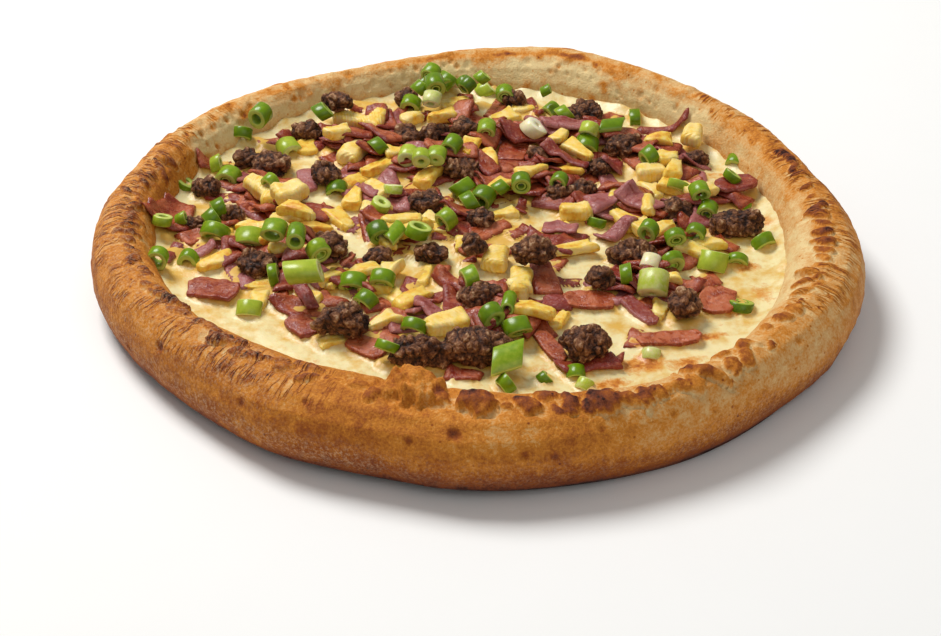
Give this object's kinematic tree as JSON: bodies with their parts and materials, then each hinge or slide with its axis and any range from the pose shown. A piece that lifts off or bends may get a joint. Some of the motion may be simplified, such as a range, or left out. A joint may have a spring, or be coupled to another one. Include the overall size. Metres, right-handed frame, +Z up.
{
  "type": "pan pizza",
  "caption": "Round pan pizza with a thick puffed rim, melted cheese, beef crumbles, ham slices, pineapple chunks and cut spring onion.",
  "frame": {"origin": "on the flat underside, under the middle of the outline", "axes": "+Z up out of the toppings; +Y away from the viewer of the picture, towards the smooth back of the rim; +X to the viewer's right"},
  "size_m": [0.3296, 0.3318, 0.0367],
  "materials": {
    "crust": "golden baked dough, matt, dusted with flour, darker on the folds",
    "cheese": "melted pale cheese, satin, with browned spots",
    "beef": "dark browned crumbles, rough with small glints of fat",
    "ham": "cooked reddish pink ham, glossy",
    "pineapple": "yellow baked fruit, moist",
    "spring_onion": "fresh green stalk, pale inside, smooth"
  },
  "bodies": {
    "root": {"crust": "crust", "cheese": "cheese", "beef_01": "beef", "beef_02": "beef", "beef_03": "beef", "beef_04": "beef", "beef_05": "beef", "beef_06": "beef", "beef_07": "beef", "beef_08": "beef", "beef_09": "beef", "beef_10": "beef", "beef_11": "beef", "beef_12": "beef", "beef_13": "beef", "beef_14": "beef", "beef_15": "beef", "beef_16": "beef", "beef_17": "beef", "beef_18": "beef", "beef_19": "beef", "beef_20": "beef", "beef_21": "beef", "beef_22": "beef", "beef_23": "beef", "beef_24": "beef", "beef_25": "beef", "beef_26": "beef", "beef_27": "beef", "beef_28": "beef", "beef_29": "beef", "beef_30": "beef", "beef_31": "beef", "beef_32": "beef", "beef_33": "beef", "ham_01": "ham", "ham_02": "ham", "ham_03": "ham", "ham_04": "ham", "ham_05": "ham", "ham_06": "ham", "ham_07": "ham", "ham_08": "ham", "ham_09": "ham", "ham_10": "ham", "ham_11": "ham", "ham_12": "ham", "ham_13": "ham", "pineapple_01": "pineapple", "pineapple_02": "pineapple", "pineapple_03": "pineapple", "pineapple_04": "pineapple", "pineapple_05": "pineapple", "pineapple_06": "pineapple", "pineapple_07": "pineapple", "pineapple_08": "pineapple", "pineapple_09": "pineapple", "pineapple_10": "pineapple", "pineapple_11": "pineapple", "pineapple_12": "pineapple"}
  },
  "joints": []
}
